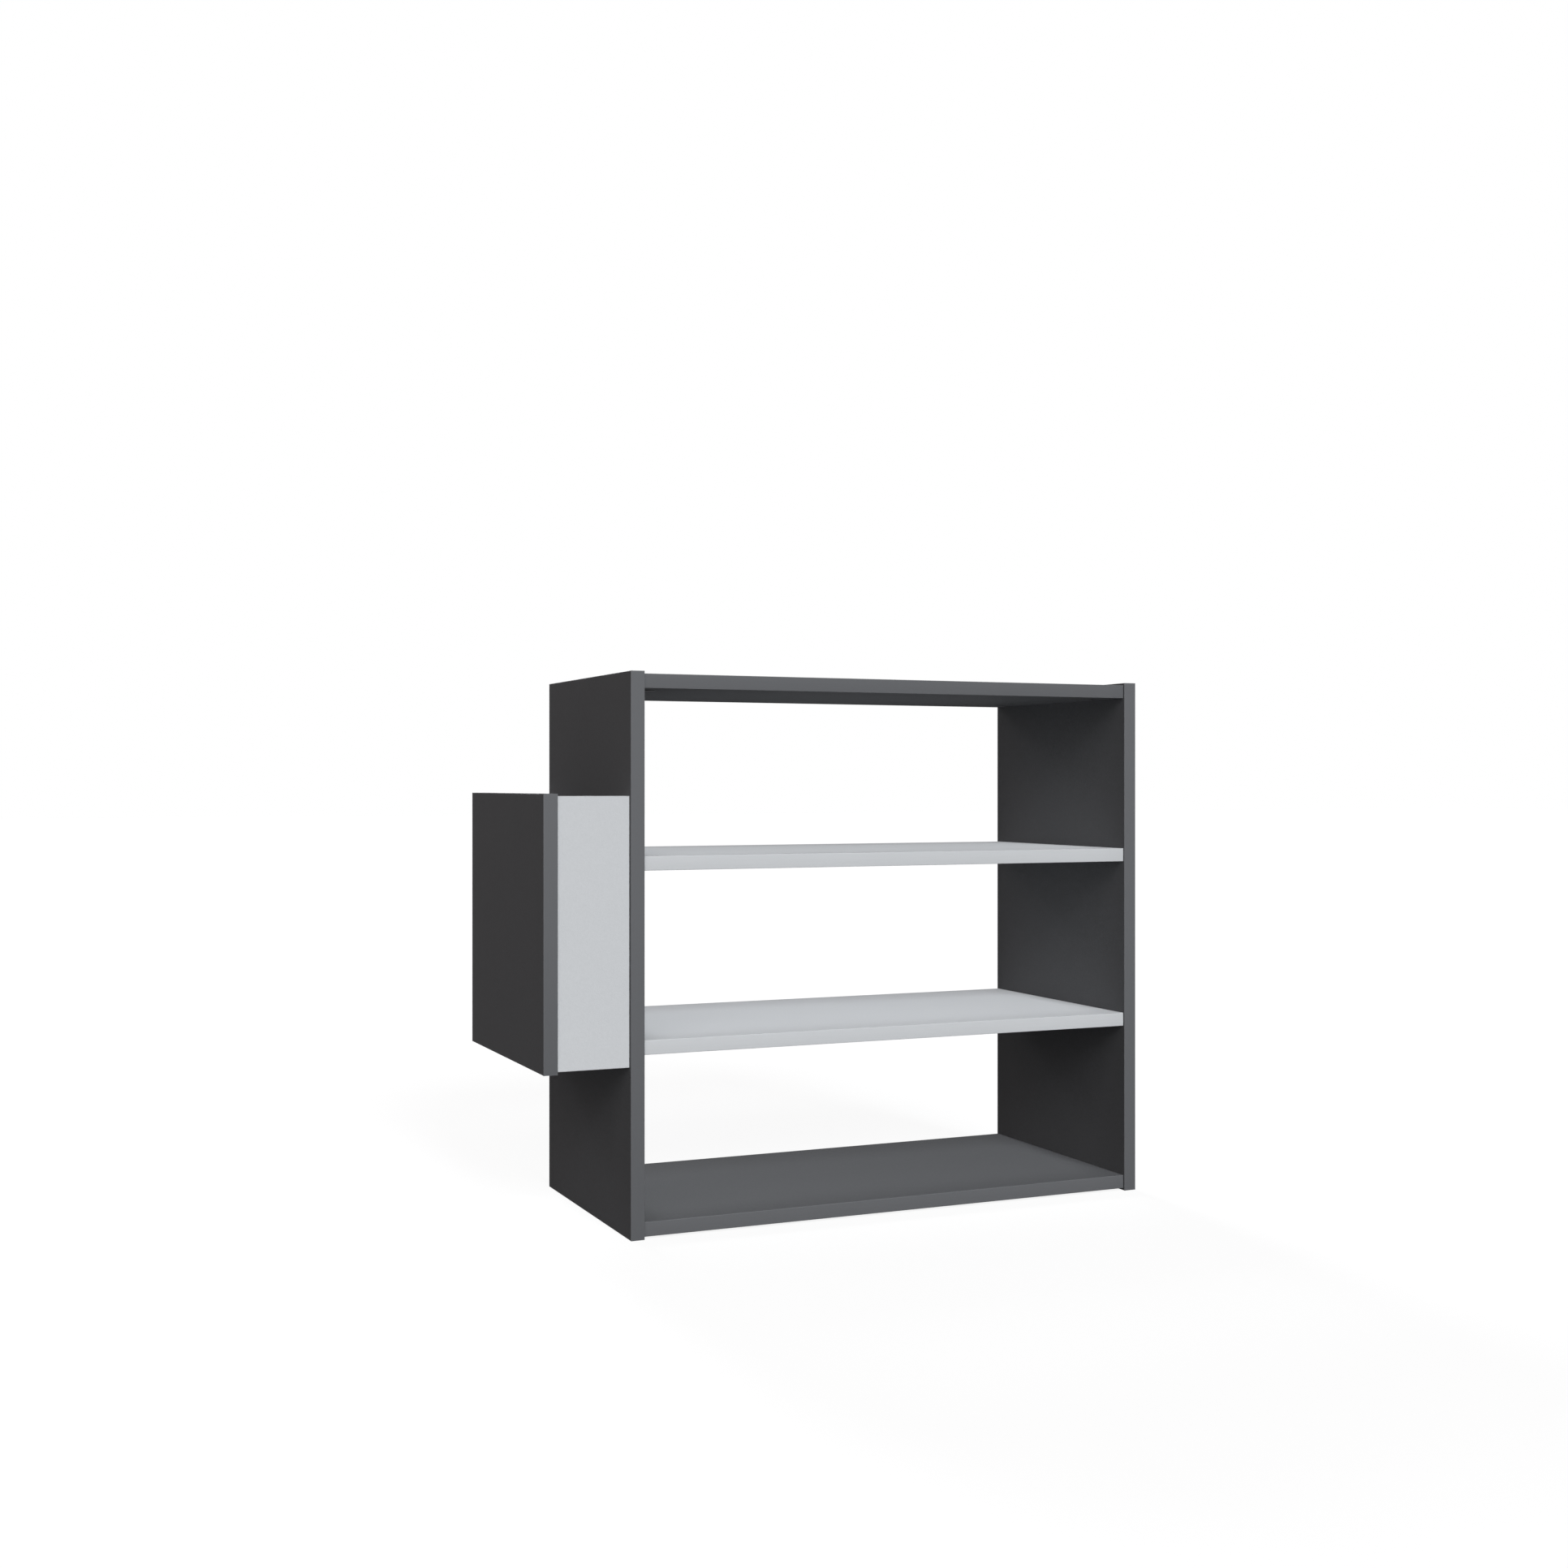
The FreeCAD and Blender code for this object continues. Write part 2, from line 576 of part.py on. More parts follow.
# Every feature has to be sound, and every cut has to take material away, before anything is written
doc.recompute()
cutting_features = ("PartDesign::Pocket", "PartDesign::Groove", "PartDesign::Mirrored", "PartDesign::Fillet")
for item in doc.Objects:
    if "Invalid" in item.State or "Error" in item.State:
        raise RuntimeError(f"{item.Label} failed: {item.State}")
    if item.TypeId in cutting_features and not item.Shape.Volume < item.BaseFeature.Shape.Volume - 1e-6:
        raise RuntimeError(f"{item.Label} cuts nothing")
for sub_part in sub_parts:
    expected = len(sub_part.Links) if sub_part.TypeId == "Part::Compound" else 1
    shape = sub_part.Shape
    if shape.isNull() or not shape.isValid() or len(shape.Solids) != expected:
        raise RuntimeError(f"{sub_part.Label} is not {expected} sound solids")

os.makedirs("parts", exist_ok=True)
for sub_part in sub_parts:
    sub_part.Shape.exportStep(f"parts/{sub_part.Label}.step")
print(len(sub_parts), "sub-parts written")
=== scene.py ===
import json
import math

import bmesh
import bpy
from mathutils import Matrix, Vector


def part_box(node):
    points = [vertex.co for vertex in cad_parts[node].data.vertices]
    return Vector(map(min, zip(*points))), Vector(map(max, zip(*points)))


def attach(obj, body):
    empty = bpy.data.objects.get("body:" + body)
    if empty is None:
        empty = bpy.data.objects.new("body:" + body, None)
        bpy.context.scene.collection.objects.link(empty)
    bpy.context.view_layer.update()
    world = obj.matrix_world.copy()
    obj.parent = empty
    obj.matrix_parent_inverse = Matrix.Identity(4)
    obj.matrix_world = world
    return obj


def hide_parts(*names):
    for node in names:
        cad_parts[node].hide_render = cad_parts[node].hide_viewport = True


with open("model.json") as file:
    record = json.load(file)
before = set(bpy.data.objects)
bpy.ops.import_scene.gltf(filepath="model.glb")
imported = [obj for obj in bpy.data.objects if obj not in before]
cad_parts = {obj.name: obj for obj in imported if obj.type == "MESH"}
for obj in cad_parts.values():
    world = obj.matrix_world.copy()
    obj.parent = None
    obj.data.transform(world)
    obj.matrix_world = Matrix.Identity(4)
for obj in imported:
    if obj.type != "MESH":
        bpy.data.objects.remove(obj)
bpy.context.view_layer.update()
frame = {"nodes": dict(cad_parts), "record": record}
nodes = frame["nodes"]
slotTone = {entry["slot"]: entry["base_color"] for entry in frame["record"]["materials"]}
mm = 0.001
print("frame:", len(nodes), "CAD nodes")

# Camera, at the place the board edges in the photo give
photoCamera = {
    "eye": (-1.07727, -2.37172, 0.56076),
    "heading": 23.79,  # degrees to the right of straight ahead, level
    "fieldOfView": 45.0,
}
lookAngles = (math.radians(90), 0, math.radians(-photoCamera["heading"]))
bpy.ops.object.camera_add(location=photoCamera["eye"], rotation=lookAngles)
camera = bpy.context.object
camera.name = "photoCamera"
camera.data.sensor_fit = "HORIZONTAL"
camera.data.angle = math.radians(photoCamera["fieldOfView"])
bpy.context.scene.camera = camera
bpy.context.scene.view_settings.view_transform = "Standard"
print("camera set")


# A socket that can be reckoned with: each sum adds its Math node
class Wire:
    def __init__(self, tree, socket=None):
        self.tree = tree
        self.socket = socket

    # any node: its type, its settings, then its sockets by name or number
    def node(self, kind, settings=None, sockets=None, out=0):
        made = self.tree.nodes.new(kind)
        for key, value in (settings or {}).items():
            setattr(made, key, value)
        for key, value in (sockets or {}).items():
            if isinstance(value, Wire):
                self.tree.links.new(value.socket, made.inputs[key])
            else:
                made.inputs[key].default_value = value
        return Wire(self.tree, made.outputs[out] if len(made.outputs) else None)

    def other(self, name):
        return Wire(self.tree, self.socket.node.outputs[name])

    def math(self, operation, first, second=0.0):
        return self.node("ShaderNodeMath", {"operation": operation}, {0: first, 1: second})

    def __add__(self, value):
        return self.math("ADD", self, value)

    def __sub__(self, value):
        return self.math("SUBTRACT", self, value)

    def __rsub__(self, value):
        return self.math("SUBTRACT", value, self)

    def __mul__(self, value):
        return self.math("MULTIPLY", self, value)

    def __abs__(self):
        return self.math("ABSOLUTE", self)

    __radd__ = __add__
    __rmul__ = __mul__

    def least(self, value):
        return self.math("MINIMUM", self, value)

    def most(self, value):
        return self.math("MAXIMUM", self, value)


# 1 at nothing, fading to 0 at reach
def fadeOut(distance, reach):
    sockets = {"Value": distance, "From Min": reach, "From Max": 0.0}
    return distance.node("ShaderNodeMapRange", {"interpolation_type": "SMOOTHSTEP"}, sockets)


# Noise from -1 to 1 about nothing, with its features size across, in metres
def mottle(point, size, detail):
    sockets = {"Vector": point, "Scale": 1 / size, "Detail": detail}
    return point.node("ShaderNodeTexNoise", None, sockets) * 2 - 1


def stretched(point, scale):
    return point.node("ShaderNodeVectorMath", {"operation": "MULTIPLY"}, {0: point, 1: scale})


def tinted(tone, level):
    return level.node("ShaderNodeVectorMath", {"operation": "SCALE"}, {0: tone, "Scale": level})


def blended(mask, first, second):
    return mask.node("ShaderNodeMix", {"data_type": "RGBA"}, {0: mask, 6: first, 7: second}, out=2)


def lighter(tone, times):
    return (*(min(1.0, part * times) for part in tone), 1.0)


def newMaterial(name):
    material = bpy.data.materials.new(name)
    material.use_nodes = True
    material.node_tree.nodes.clear()
    return material, Wire(material.node_tree)


def surface(make, sockets):
    shader = make.node("ShaderNodeBsdfPrincipled", None, sockets)
    make.node("ShaderNodeOutputMaterial", None, {"Surface": shader})


def bumped(height, distance):
    sockets = {"Strength": 1.0, "Distance": distance, "Height": height}
    return height.node("ShaderNodeBump", None, sockets)


# Rubbing along bare edges comes in uneven patches
wear = {
    "patchNoise": (14 * mm, 2.0),  # size and detail, as for every noise below
    "patchMiddle": 0.6,
    "patchSwing": 0.4,
}


# Distance inwards from the nearer of a box's two faces, along each axis
def faceGaps(point, low, high):
    parts = point.node("ShaderNodeSeparateXYZ", None, {0: point})
    axes = [parts, parts.other("Y"), parts.other("Z")]
    return [(high[i] - low[i]) / 2 - abs(axes[i] - (high[i] + low[i]) / 2) for i in range(3)]


# 1 along the bare edges of a box, fading to 0 at reach
def edgeRub(point, gaps, bareEdges, reach):
    edge = None
    for first, second in bareEdges:
        corner = gaps[first].most(gaps[second])
        edge = edge.least(corner) if edge else corner
    patch = wear["patchMiddle"] + wear["patchSwing"] * mottle(point, *wear["patchNoise"])
    return fadeOut(edge, reach) * patch


# Melamine facing of the boards: one plain tone with a fine pearl grain, rubbed a little along the
# bare edges, and with painted shade in the joint gap at its butted ends
facing = {
    "cloudNoise": (220 * mm, 3.0),
    "cloud": 0.018,
    "fleckNoise": (2.4 * mm, 3.0),
    "fleck": {"anthracite_board": 0.09, "white_board": 0.05},
    "pearlNoise": (0.9 * mm, 2.0),
    "pearlHeight": 0.075 * mm,
    "rubReach": 4.0 * mm,
    "rub": 0.16,
    "rubTone": {"anthracite_board": 1.9, "white_board": 1.12},
    "rubShine": 0.06,
    # painted shade: darkening in the joint gap at the butted ends, standing in for the shadow there
    "gapShadeReach": 0.9 * mm,
    "joint": {"anthracite_board": 0.45, "white_board": 0.2},
    "gapShadeTone": 0.25,
    "smudgeStretch": (1.0, 1.0, 0.45),  # upright boards are wiped up and down
    "smudgeNoise": (90 * mm, 4.0),
    "smudge": 0.05,
    "roughness": {"anthracite_board": 0.64, "white_board": 0.5},
    "specular": {"anthracite_board": 0.03, "white_board": 0.045},  # both matt
}


def boardFacing(board, slot, facedBox, bareEdges, joints):
    material, make = newMaterial(f"{slot}-{board}")
    point = make.node("ShaderNodeTexCoord", out="Object")
    gaps = faceGaps(point, *facedBox)
    tone = slotTone[slot]
    cloud = mottle(point, *facing["cloudNoise"])
    fleck = mottle(point, *facing["fleckNoise"])
    colour = tinted(tone, 1 + cloud * facing["cloud"] + fleck * facing["fleck"][slot])
    smudge = mottle(stretched(point, facing["smudgeStretch"]), *facing["smudgeNoise"])
    roughness = facing["roughness"][slot] + smudge * facing["smudge"]
    if bareEdges:
        rub = edgeRub(point, gaps, bareEdges, facing["rubReach"])
        colour = blended(rub * facing["rub"], colour, lighter(tone, facing["rubTone"][slot]))
        roughness = roughness - rub * facing["rubShine"]
    # painted shade along the butted ends, standing in for the shadow in the joint gap
    for axis in joints:
        gapShadeMask = fadeOut(gaps[axis], facing["gapShadeReach"])
        colour = blended(gapShadeMask * facing["joint"][slot], colour, lighter(tone, facing["gapShadeTone"]))
    pearl = mottle(point, *facing["pearlNoise"])
    surface(make, {
        "Base Color": colour,
        "Roughness": roughness,
        "Specular IOR Level": facing["specular"][slot],
        "Normal": bumped(pearl, facing["pearlHeight"]),
    })
    return material


# The box of a board with its bands on
def outerBox(board, bands):
    low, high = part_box(board)
    if bands:
        bandLow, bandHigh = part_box(bands)
        low = Vector(map(min, low, bandLow))
        high = Vector(map(max, high, bandHigh))
    return low, high


uprightEdges = [(0, 1), (0, 2), (1, 2)]
longEdges = [(1, 2)]
boards = {
    # board: slot, its bands, bare edges as pairs of axes, axes of its butted ends, which get painted gap
    # shade
    "left_side_panel": ("anthracite_board", "left_side_edge_bands", uprightEdges, []),
    "right_side_panel": ("anthracite_board", "right_side_edge_bands", uprightEdges, []),
    "pocket_outer_panel": ("anthracite_board", "pocket_outer_edge_bands", uprightEdges, []),
    "top_panel": ("anthracite_board", "top_panel_edge_bands", longEdges, [0]),
    "bottom_panel": ("anthracite_board", "bottom_panel_edge_bands", longEdges, [0]),
    "upper_shelf": ("white_board", "upper_shelf_edge_bands", longEdges, [0]),
    "lower_shelf": ("white_board", "lower_shelf_edge_bands", longEdges, [0]),
    "pocket_front_panel": ("white_board", "pocket_front_edge_bands", longEdges, [0]),
    "pocket_back_panel": ("white_board", "pocket_back_edge_bands", longEdges, [0]),
    "pocket_floor_panel": ("white_board", None, [], [0, 1]),
}
for board, (slot, bands, bareEdges, joints) in boards.items():
    finish = boardFacing(board, slot, outerBox(board, bands), bareEdges, joints)
    nodes[board].material_slots[0].material = finish
print("boards faced:", len(boards))


# Hidden fittings: zinc cams, plated bolts and beech dowels
castZinc = {
    "tone": slotTone["zinc_cam"],
    "patchNoise": (1.4 * mm, 4.0),
    "patch": 0.06,
    "skin": 0.02 * mm,
    "dullNoise": (6 * mm, 3.0),
    "dull": 0.05,
    "dullRoughness": 0.1,
    "roughness": 0.42,
}
platedSteel = {
    **castZinc,
    "tone": slotTone["steel_bolt"],
    "patchNoise": (2.5 * mm, 4.0),
    "skin": 0.006 * mm,
    "roughness": 0.3,
}
beech = {
    "tone": slotTone["beech_dowel"],
    "grainStretch": (40.0, 900.0, 900.0),
    "grainNoise": (1.0, 4.0),
    "grain": 0.14,
    "grainHeight": 0.03 * mm,
    "grainRoughness": 0.08,
    "fleckStretch": (0.35, 1.0, 1.0),
    "fleckNoise": (1.1 * mm, 2.0),
    "fleckReach": 0.75,
    "fleck": 0.5,
    "fleckTone": 0.6,
    "roughness": 0.62,
    "specular": 0.3,
}


def metalSkin(name, metal):
    material, make = newMaterial(name)
    point = make.node("ShaderNodeTexCoord", out="Object")
    patch = mottle(point, *metal["patchNoise"])
    dull = mottle(point, *metal["dullNoise"])
    surface(make, {
        "Base Color": tinted(metal["tone"], 1 + patch * metal["patch"] + dull * metal["dull"]),
        "Roughness": metal["roughness"] + dull * metal["dullRoughness"],
        "Metallic": 1.0,
        "Normal": bumped(patch, metal["skin"]),
    })
    return material


def beechWood(name):
    material, make = newMaterial(name)
    point = make.node("ShaderNodeTexCoord", out="Object")
    grain = mottle(stretched(point, beech["grainStretch"]), *beech["grainNoise"])
    fleck = mottle(stretched(point, beech["fleckStretch"]), *beech["fleckNoise"])
    fleck = fadeOut(1 - fleck, beech["fleckReach"])
    colour = tinted(beech["tone"], 1 + grain * beech["grain"])
    surface(make, {
        "Base Color": blended(fleck * beech["fleck"], colour, lighter(beech["tone"], beech["fleckTone"])),
        "Roughness": beech["roughness"] + grain * beech["grainRoughness"],
        "Specular IOR Level": beech["specular"],
        "Normal": bumped(grain, beech["grainHeight"]),
    })
    return material


fittingFinish = {
    "_cams": metalSkin("castZinc", castZinc),
    "_cam_bolts": metalSkin("platedSteel", platedSteel),
    "_dowels": beechWood("beechWood"),
}
fitted = 0
for name, node in nodes.items():
    for ending, material in fittingFinish.items():
        if name.endswith(ending):
            node.material_slots[0].material = material
            fitted += 1
print("fittings finished:", fitted)


# Modelling helpers: everything else deselected first, then parts picked by their place
smoothAngle = math.radians(35)
quarter = math.radians(90)
half = math.radians(180)
tiny = 0.01 * mm
nearlyLevel = 0.99  # of a face's normal, where 1 is level


def nothingSelected():
    if bpy.context.object and bpy.context.object.mode != "OBJECT":
        bpy.ops.object.mode_set(mode="OBJECT")
    bpy.ops.object.select_all(action="DESELECT")


def settle(piece):
    bpy.ops.object.transform_apply(location=True, rotation=True, scale=True)
    return piece


def pickEdges(piece, wanted):
    bpy.ops.mesh.select_mode(type="EDGE")
    bpy.ops.mesh.select_all(action="DESELECT")
    shape = bmesh.from_edit_mesh(piece.data)
    for edge in shape.edges:
        first, second = (corner.co for corner in edge.verts)
        if wanted((first + second) / 2, second - first):
            edge.select_set(True)
    bmesh.update_edit_mesh(piece.data)


# The level faces at a height, up or down as the sign of way says
def pickLevelFaces(piece, height, way):
    bpy.ops.mesh.select_mode(type="FACE")
    bpy.ops.mesh.select_all(action="DESELECT")
    shape = bmesh.from_edit_mesh(piece.data)
    for face in shape.faces:
        level = face.normal.z * way > nearlyLevel
        if level and abs(face.calc_center_median().z - height) < tiny:
            face.select_set(True)
    bmesh.update_edit_mesh(piece.data)


def placedCopy(master, spot, turn):
    nothingSelected()
    master.select_set(True)
    bpy.context.view_layer.objects.active = master
    bpy.ops.object.duplicate()
    copy = bpy.context.object
    copy.location = spot
    copy.rotation_euler = turn
    return settle(copy)


def joined(pieces, name):
    nothingSelected()
    for piece in pieces:
        piece.select_set(True)
    bpy.context.view_layer.objects.active = pieces[0]
    bpy.ops.object.join()
    whole = bpy.context.object
    whole.name = name
    whole.data.name = name
    return whole


# left_side_edge_bands becomes leftSideBanding
def pieceName(node, ending, newEnding):
    words = node.replace(ending, "").split("_")
    return words[0] + "".join(word.capitalize() for word in words[1:]) + newEnding


def handOver(piece, node, material):
    piece.data.materials.clear()
    piece.data.materials.append(material)
    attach(piece, "root")
    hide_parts(node)


# Edge bands: strips of extruded plastic glued to the board edges, with rounded arrises
band = {
    "arris": 0.7 * mm,
    "arrisSteps": 6,
    "glueLine": 0.1 * mm,
    "endChamfer": 0.14 * mm,
    "endSteps": 2,
    "streakStretch": (12.0, 1400.0, 1400.0),
    "streakNoise": (1.0, 2.0),
    "streak": 0.03,
    "streakHeight": 0.01 * mm,
    "streakRoughness": 0.05,
    "grainNoise": (0.7 * mm, 2.0),
    "grain": {"anthracite_band": 0.06, "white_band": 0.035},
    "grainHeight": 0.03 * mm,
    "cloudNoise": (160 * mm, 3.0),
    "cloud": 0.015,
    "cloudRoughness": 0.03,
    "rubReach": 1.3 * mm,
    "rub": 0.3,
    "rubTone": {"anthracite_band": 1.7, "white_band": 1.08},
    "rubShine": 0.08,
    "roughness": {"anthracite_band": 0.56, "white_band": 0.44},
    "specular": {"anthracite_band": 0.05, "white_band": 0.12},
}


# One strip along X, glue side at Y = 0 and outer face towards -Y, standing on Z = 0
def bandStrip(length, thickness, width):
    nothingSelected()
    middle = (0, -thickness / 2, width / 2)
    bpy.ops.mesh.primitive_cube_add(size=1, location=middle, scale=(length, thickness, width))
    strip = settle(bpy.context.object)
    bpy.ops.object.mode_set(mode="EDIT")
    pickEdges(strip, lambda middle, run: abs(run.x) > length / 2 and middle.y < -thickness / 2)
    bpy.ops.mesh.bevel(offset=band["arris"], segments=band["arrisSteps"], affect="EDGES")
    pickEdges(strip, lambda middle, run: abs(run.x) > length / 2 and middle.y > -tiny)
    bpy.ops.mesh.bevel(offset=band["glueLine"], segments=1, affect="EDGES")
    pickEdges(strip, lambda middle, run: abs(middle.x) > length / 2 - tiny)
    bpy.ops.mesh.bevel(offset=band["endChamfer"], segments=band["endSteps"], affect="EDGES")
    bpy.ops.mesh.select_all(action="SELECT")
    bpy.ops.uv.cube_project(cube_size=1.0, correct_aspect=False, scale_to_bounds=False)
    bpy.ops.object.mode_set(mode="OBJECT")
    bpy.ops.object.shade_smooth_by_angle(angle=smoothAngle)
    return strip


def bandPlastic(bands, slot, facedBox, bareEdges):
    material, make = newMaterial(f"{slot}-{bands}")
    point = make.node("ShaderNodeTexCoord", out="Object")
    along = make.node("ShaderNodeUVMap", {"uv_map": "UVMap"})
    streak = mottle(stretched(along, band["streakStretch"]), *band["streakNoise"])
    grain = mottle(point, *band["grainNoise"])
    cloud = mottle(point, *band["cloudNoise"])
    tone = slotTone[slot]
    level = 1 + streak * band["streak"] + cloud * band["cloud"] + grain * band["grain"][slot]
    rub = edgeRub(point, faceGaps(point, *facedBox), bareEdges, band["rubReach"])
    rubbed = lighter(tone, band["rubTone"][slot])
    dull = streak * band["streakRoughness"] + cloud * band["cloudRoughness"]
    height = grain * band["grainHeight"] + streak * band["streakHeight"]
    surface(make, {
        "Base Color": blended(rub * band["rub"], tinted(tone, level), rubbed),
        "Roughness": band["roughness"][slot] + dull - rub * band["rubShine"],
        "Specular IOR Level": band["specular"][slot],
        "Normal": bumped(height, 1.0),
    })
    return material


stripMasters = {}


def stripOf(length, thickness, width):
    key = tuple(round(size / tiny) for size in (length, thickness, width))
    if key not in stripMasters:
        stripMasters[key] = bandStrip(length, thickness, width)
    return stripMasters[key]


for board, (boardSlot, bands, bareEdges, joints) in boards.items():
    if not bands:
        continue
    low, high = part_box(bands)
    coreLow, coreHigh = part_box(board)
    middle = (low + high) / 2
    size = high - low
    frontThick = coreLow.y - low.y
    footThick = coreLow.z - low.z
    strips = []
    if frontThick > tiny and footThick > tiny:  # banded all round
        tall = stripOf(size.z, frontThick, size.x)
        short = stripOf(coreHigh.y - coreLow.y, footThick, size.x)
        strips.append(placedCopy(tall, (high.x, coreLow.y, middle.z), (0, -quarter, 0)))
        strips.append(placedCopy(tall, (low.x, coreHigh.y, middle.z), (0, -quarter, half)))
        strips.append(placedCopy(short, (low.x, middle.y, coreLow.z), (quarter, 0, quarter)))
        strips.append(placedCopy(short, (low.x, middle.y, coreHigh.z), (-quarter, 0, -quarter)))
    elif frontThick > tiny:  # front and back
        strip = stripOf(size.x, frontThick, size.z)
        strips.append(placedCopy(strip, (middle.x, coreLow.y, low.z), (0, 0, 0)))
        strips.append(placedCopy(strip, (middle.x, coreHigh.y, low.z), (0, 0, half)))
    else:  # below and above
        strip = stripOf(size.x, footThick, size.y)
        strips.append(placedCopy(strip, (middle.x, high.y, coreLow.z), (quarter, 0, 0)))
        strips.append(placedCopy(strip, (middle.x, low.y, coreHigh.z), (-quarter, 0, 0)))
    piece = joined(strips, pieceName(bands, "_edge_bands", "Banding"))
    slot = boardSlot.replace("_board", "_band")
    handOver(piece, bands, bandPlastic(bands, slot, outerBox(board, bands), bareEdges))
    print("banded:", piece.name)
for master in stripMasters.values():
    bpy.data.objects.remove(master)


# Cover caps over the cams: moulded discs with a soft rim, a shallow dish and a gate mark in the middle
cap = {
    "turns": 72,
    "rim": 0.8 * mm,
    "rimSteps": 5,
    "ringWidth": 0.9 * mm,
    "dishSlope": 0.5 * mm,
    "dishDepth": 0.16 * mm,
    "gateRadius": 0.9 * mm,
    "gateSlope": 0.15 * mm,
    "gateDepth": 0.12 * mm,
    "pegRadius": 1.9 * mm,
    "pegLength": 2.0 * mm,
    "pegBevel": 0.3 * mm,
    "pegSteps": 2,
    "grainNoise": (0.7 * mm, 2.0),
    "grain": 0.015,
    "grainHeight": 0.014 * mm,
    "flowNoise": (5 * mm, 3.0),
    "flow": 0.03,
    "flowRoughness": 0.05,
    "roughness": 0.5,
    "specular": 0.3,
}


# One cap with its board face at Z = 0 and its shown face towards -Z
def coverCap(radius, thickness):
    nothingSelected()
    bpy.ops.mesh.primitive_cylinder_add(
        vertices=cap["turns"], radius=radius, depth=thickness, location=(0, 0, -thickness / 2)
    )
    disc = settle(bpy.context.object)
    bpy.ops.object.mode_set(mode="EDIT")
    pickEdges(disc, lambda middle, run: middle.z < -thickness + tiny)
    bpy.ops.mesh.bevel(offset=cap["rim"], segments=cap["rimSteps"], affect="EDGES")
    pickLevelFaces(disc, -thickness, -1)
    bpy.ops.mesh.inset(thickness=cap["ringWidth"], depth=0)
    bpy.ops.mesh.inset(thickness=cap["dishSlope"], depth=-cap["dishDepth"])
    dishRadius = radius - cap["rim"] - cap["ringWidth"] - cap["dishSlope"]
    bpy.ops.mesh.inset(thickness=dishRadius - cap["gateRadius"], depth=0)
    bpy.ops.mesh.inset(thickness=cap["gateSlope"], depth=-cap["gateDepth"])
    pickLevelFaces(disc, 0, 1)
    bpy.ops.mesh.inset(thickness=radius - cap["pegRadius"], depth=0)
    bpy.ops.mesh.extrude_region_move(TRANSFORM_OT_translate={"value": (0, 0, cap["pegLength"])})
    pickEdges(disc, lambda middle, run: middle.z > cap["pegLength"] - tiny)
    bpy.ops.mesh.bevel(offset=cap["pegBevel"], segments=cap["pegSteps"], affect="EDGES")
    bpy.ops.object.mode_set(mode="OBJECT")
    bpy.ops.object.shade_smooth_by_angle(angle=smoothAngle)
    return disc


def capPlastic(slot):
    material, make = newMaterial(f"{slot}-plastic")
    point = make.node("ShaderNodeTexCoord", out="Object")
    grain = mottle(point, *cap["grainNoise"])
    flow = mottle(point, *cap["flowNoise"])
    surface(make, {
        "Base Color": tinted(slotTone[slot], 1 + flow * cap["flow"] + grain * cap["grain"]),
        "Roughness": cap["roughness"] + flow * cap["flowRoughness"],
        "Specular IOR Level": cap["specular"],
        "Normal": bumped(grain, cap["grainHeight"]),
    })
    return material


capBoards = {
    "top_panel_cam_caps": "top_panel",
    "bottom_panel_cam_caps": "bottom_panel",
    "upper_shelf_cam_caps": "upper_shelf",
    "lower_shelf_cam_caps": "lower_shelf",
    "pocket_front_cam_caps": "pocket_front_panel",
    "pocket_back_cam_caps": "pocket_back_panel",
}
capFinish = {slot: capPlastic(slot) for slot in ("anthracite_cap", "white_cap")}

# One cap's size, from the left row under the top board
capLow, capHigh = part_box("top_panel_cam_caps")
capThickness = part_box("top_panel")[0].z - capLow.z
capCorners = [corner.co.x for corner in nodes["top_panel_cam_caps"].data.vertices]
leftRow = [x for x in capCorners if x < (capLow.x + capHigh.x) / 2]
capRadius = (max(leftRow) - min(leftRow)) / 2
capMaster = coverCap(capRadius, capThickness)
for node, board in capBoards.items():
    low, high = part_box(node)
    boardLow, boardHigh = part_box(board)
    acrossX = (low.x + capRadius, high.x - capRadius)
    if low.z < boardLow.z - tiny:  # shown on the underside
        turn = (0, 0, 0)
        acrossY = (low.y + capRadius, high.y - capRadius)
        spots = [(x, y, boardLow.z) for x in acrossX for y in acrossY]
    else:  # shown inside the pocket
        facesBack = high.y > boardHigh.y + tiny
        turn = (quarter if facesBack else -quarter, 0, 0)
        face = boardHigh.y if facesBack else boardLow.y
        acrossZ = (low.z + capRadius, high.z - capRadius)
        spots = [(x, face, z) for x in acrossX for z in acrossZ]
    copies = [placedCopy(capMaster, spot, turn) for spot in spots]
    piece = joined(copies, pieceName(node, "_cam_caps", "Caps"))
    slot = boards[board][0].replace("_board", "_cap")
    handOver(piece, node, capFinish[slot])
    print("capped:", piece.name)
bpy.data.objects.remove(capMaster)

# Studio: soft lamps as wide as softboxes, a dim surround, a pale floor
# Each lamp: azimuth and elevation it comes from, width it shows, all in degrees, level and tint
studio = {
    "lamps": {
        "frontSoftbox": (0, 31, 20, 0.775, (0.94, 0.975, 1.0)),
        "leftSoftbox": (-28, 31, 60, 0.33, (1.0, 0.965, 0.955)),
        "rightSoftbox": (92, 14, 24, 0.22, (1.0, 0.985, 0.975)),
        "backSoftbox": (180, 29, 16, 0.64, (0.955, 0.975, 1.0)),
        "backLeftSoftbox": (-150, 29, 70, 0.15, (1.0, 0.9, 0.87)),
    },
    "lampDistance": 4.0,
    "surround": (0.014, 0.006, 0.005, 1.0),
    "white": (1.0, 1.0, 1.0, 1.0),
    "glossShare": 0.1,  # how much of the white a matt sheen picks up
    "floorSize": 60.0,
    "floorTone": (0.17, 0.1668, 0.1668, 1.0),  # what the floor throws back at the object
    "floorSeen": (0.17, 0.17, 0.17, 1.0),  # what the camera sees of its shading, on top of the white
    "floorWhite": 0.865,
}
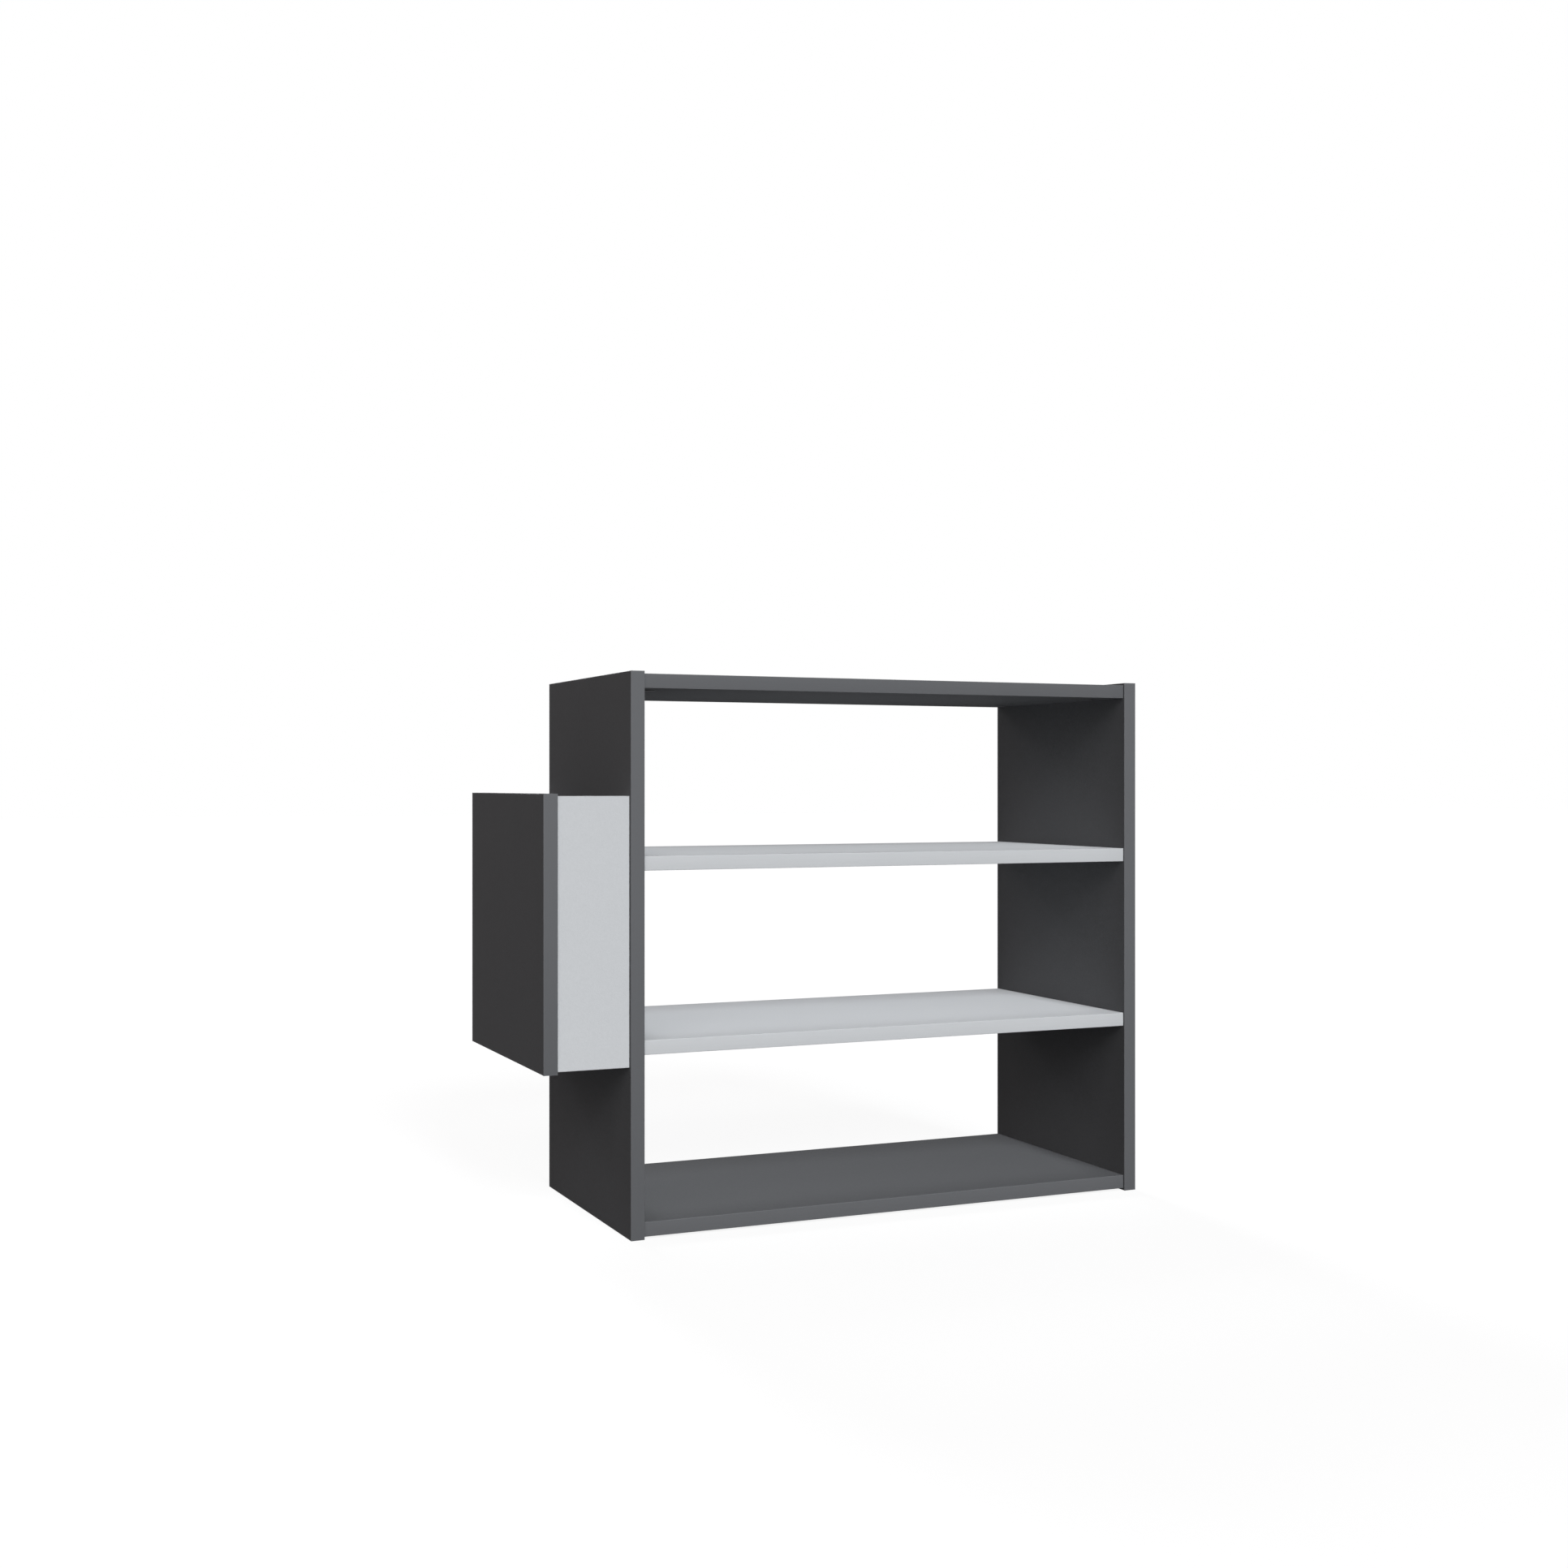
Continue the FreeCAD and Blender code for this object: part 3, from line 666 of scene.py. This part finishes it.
for name, (azimuth, elevation, spread, level, tint) in studio["lamps"].items():
    side = math.radians(azimuth)
    rise = math.radians(elevation)
    ahead = math.cos(rise)
    towards = Vector((math.sin(side) * ahead, -math.cos(side) * ahead, math.sin(rise)))
    aim = towards.to_track_quat("Z", "Y").to_euler()
    nothingSelected()
    bpy.ops.object.light_add(type="SUN", location=towards * studio["lampDistance"], rotation=aim)
    sun = bpy.context.object
    sun.name = name
    sun.data.energy = level * math.pi  # level 1 shows a colour as written
    sun.data.angle = math.radians(spread)
    sun.data.color = tint


# 1 for the rays that see the background: from the camera, off gloss and through glass
def seenRays(make):
    rays = make.node("ShaderNodeLightPath", out="Is Camera Ray")
    gloss = rays.other("Is Glossy Ray") * studio["glossShare"]
    return rays.most(gloss).most(rays.other("Is Transmission Ray"))


world = bpy.data.worlds.new("studio")
bpy.context.scene.world = world
world.use_nodes = True
world.node_tree.nodes.clear()
make = Wire(world.node_tree)
dimSky = make.node("ShaderNodeBackground", None, {"Color": studio["surround"], "Strength": 1.0})
whiteSky = make.node("ShaderNodeBackground", None, {"Color": studio["white"], "Strength": 1.0})
sky = make.node("ShaderNodeMixShader", None, {0: seenRays(make), 1: dimSky, 2: whiteSky})
make.node("ShaderNodeOutputWorld", None, {"Surface": sky})

nothingSelected()
bpy.ops.mesh.primitive_plane_add(size=studio["floorSize"], location=(0, 0, 0))
floor = bpy.context.object
floor.name = "floor"
material, make = newMaterial("paleFloor")
paint = make.node("ShaderNodeBsdfDiffuse", None, {"Color": studio["floorTone"]})
shade = make.node("ShaderNodeBsdfDiffuse", None, {"Color": studio["floorSeen"]})
glowSockets = {"Color": studio["white"], "Strength": studio["floorWhite"]}
glow = make.node("ShaderNodeEmission", None, glowSockets)
shown = make.node("ShaderNodeAddShader", None, {0: shade, 1: glow})
both = make.node("ShaderNodeMixShader", None, {0: seenRays(make), 1: paint, 2: shown})
make.node("ShaderNodeOutputMaterial", None, {"Surface": both})
floor.data.materials.append(material)
print("studio lit")
